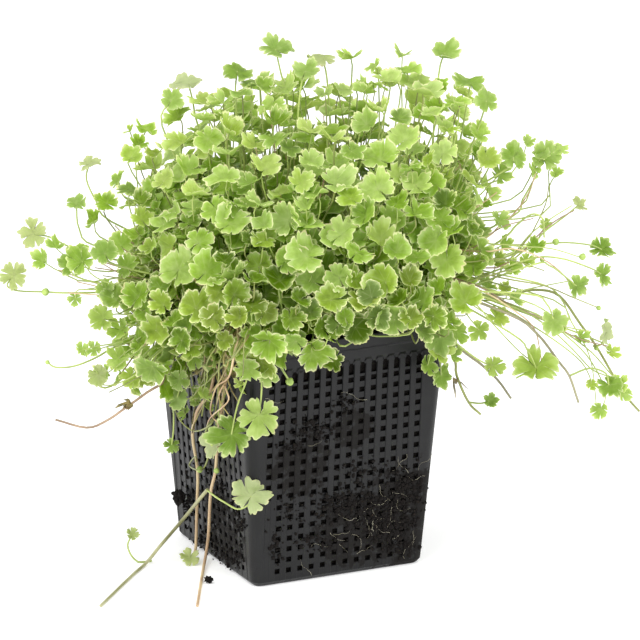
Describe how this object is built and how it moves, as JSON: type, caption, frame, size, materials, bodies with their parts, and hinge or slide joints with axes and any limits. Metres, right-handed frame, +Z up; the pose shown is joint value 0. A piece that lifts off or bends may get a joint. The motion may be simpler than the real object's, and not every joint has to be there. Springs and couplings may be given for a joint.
{
  "type": "pennywort in a mesh pond basket",
  "caption": "Pennywort with a dense round crown of small cream-edged leaves and trailing runners, in a square black mesh pond basket of soil.",
  "frame": {"origin": "middle of the basket's flat underside", "axes": "+Z up; -Y out of the basket's front, which is the right-hand face in the picture; -X out of its left side, which is the other face in the picture"},
  "size_m": [0.2528, 0.1977, 0.2307],
  "materials": {
    "basket_plastic": "black moulded plastic, satin-matte, dusty with peat",
    "peat_soil": null,
    "leaf": null,
    "stem": null
  },
  "bodies": {
    "root": {"basket": "basket_plastic", "soil": "peat_soil", "soil_clump": "peat_soil", "soil_crumb": "peat_soil", "leaf_crown": "leaf", "leaf_back_1": "leaf", "leaf_back_2": "leaf", "leaf_back_3": "leaf", "leaf_floor_1": "leaf", "leaf_floor_2": "leaf", "leaf_front_1": "leaf", "leaf_front_2": "leaf", "leaf_front_3": "leaf", "leaf_front_4": "leaf", "leaf_front_5": "leaf", "leaf_front_6": "leaf", "leaf_front_7": "leaf", "leaf_front_8": "leaf", "leaf_left_1": "leaf", "leaf_left_2": "leaf", "leaf_left_3": "leaf", "leaf_left_4": "leaf", "leaf_left_5": "leaf", "leaf_left_6": "leaf", "leaf_left_7": "leaf", "leaf_left_8": "leaf", "leaf_right_1": "leaf", "leaf_right_10": "leaf", "leaf_right_11": "leaf", "leaf_right_12": "leaf", "leaf_right_2": "leaf", "leaf_right_3": "leaf", "leaf_right_4": "leaf", "leaf_right_5": "leaf", "leaf_right_6": "leaf", "leaf_right_7": "leaf", "leaf_right_8": "leaf", "leaf_right_9": "leaf", "leaf_top_1": "leaf", "leaf_top_2": "leaf", "leaf_top_3": "leaf", "leaf_top_4": "leaf", "leaf_top_5": "leaf", "leaf_top_6": "leaf", "leaf_top_7": "leaf", "leaf_top_8": "leaf", "leaf_top_9": "leaf", "bud_front": "leaf", "runner_back_1": "stem", "runner_left_1": "stem", "runner_left_2": "stem", "runner_right_1": "stem", "runner_right_2": "stem", "runner_right_3": "stem", "runner_right_4": "stem", "runner_right_5": "stem", "stem_hanging_1": "stem", "stem_hanging_2": "stem", "stem_hanging_3": "stem"}
  },
  "joints": []
}
